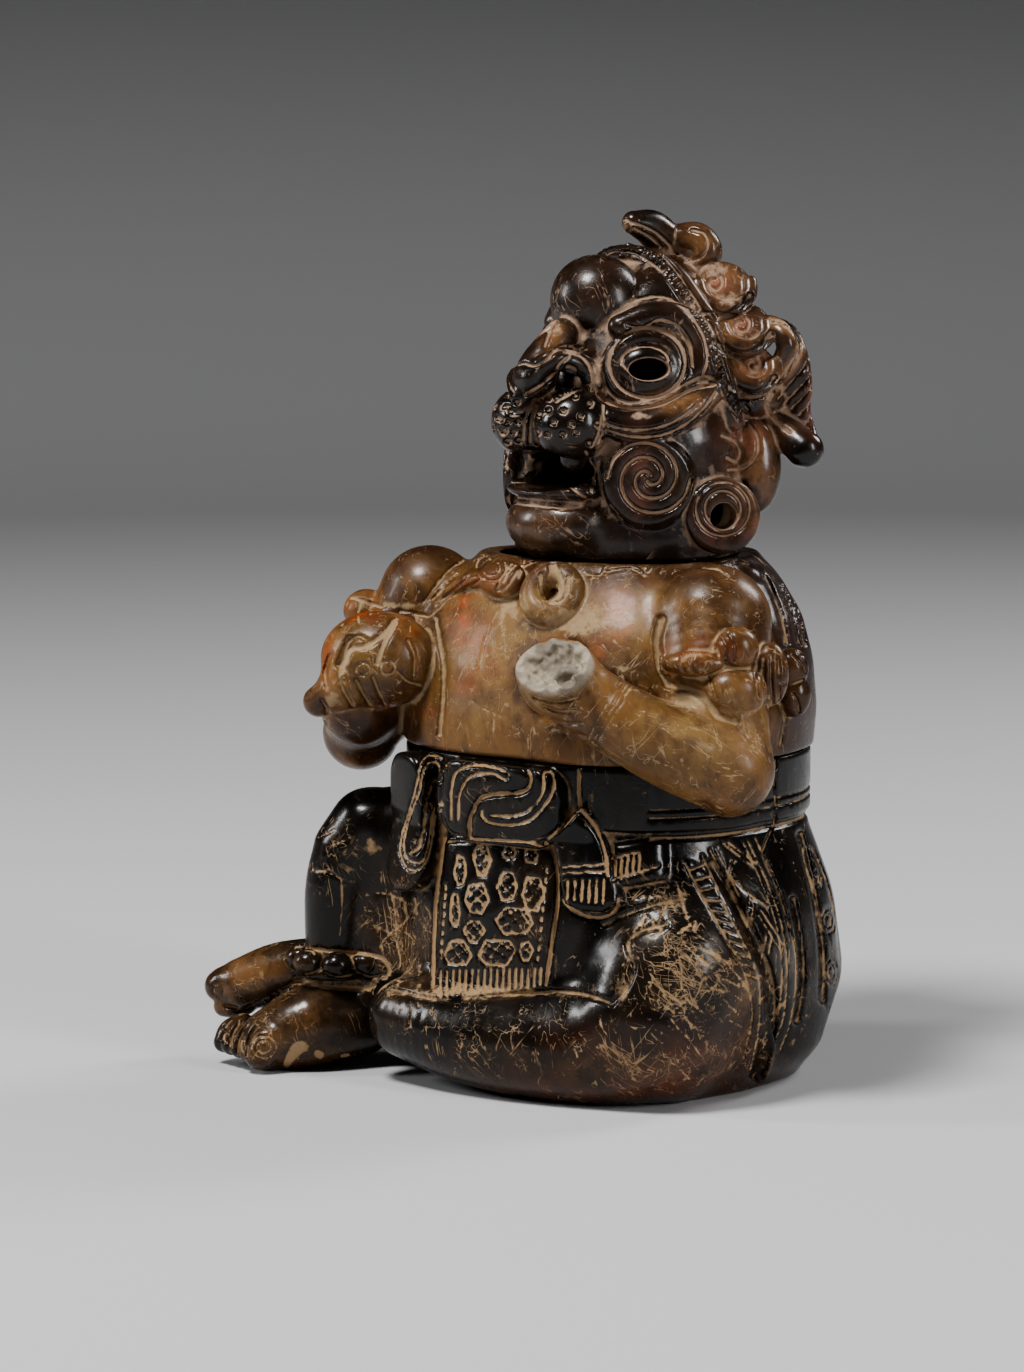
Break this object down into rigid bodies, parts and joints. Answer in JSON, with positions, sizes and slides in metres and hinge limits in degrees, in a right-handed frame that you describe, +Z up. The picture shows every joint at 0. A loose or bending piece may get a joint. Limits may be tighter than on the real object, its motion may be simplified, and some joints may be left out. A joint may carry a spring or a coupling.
{
  "type": "effigy vessel",
  "caption": "Clay effigy vessel: a seated, cross-legged figure with a big cat's muzzle on its mask face, made as a hollow base, torso and head that stack.",
  "frame": {"origin": "middle of the flat underside", "axes": "+Z up, the figure faces -Y, its left side is +X"},
  "size_m": [0.2507, 0.1907, 0.3528],
  "materials": {
    "black_slip": "burnished near-black slip, with pale clay in the incised lines",
    "brown_slip": "burnished brown to orange slip, worn and mottled",
    "umber_slip": "burnished dark umber slip, with pale clay and red pigment in the grooves"
  },
  "bodies": {
    "root": {"lower_vessel": "black_slip", "torso": "brown_slip", "head": "umber_slip"}
  },
  "joints": []
}
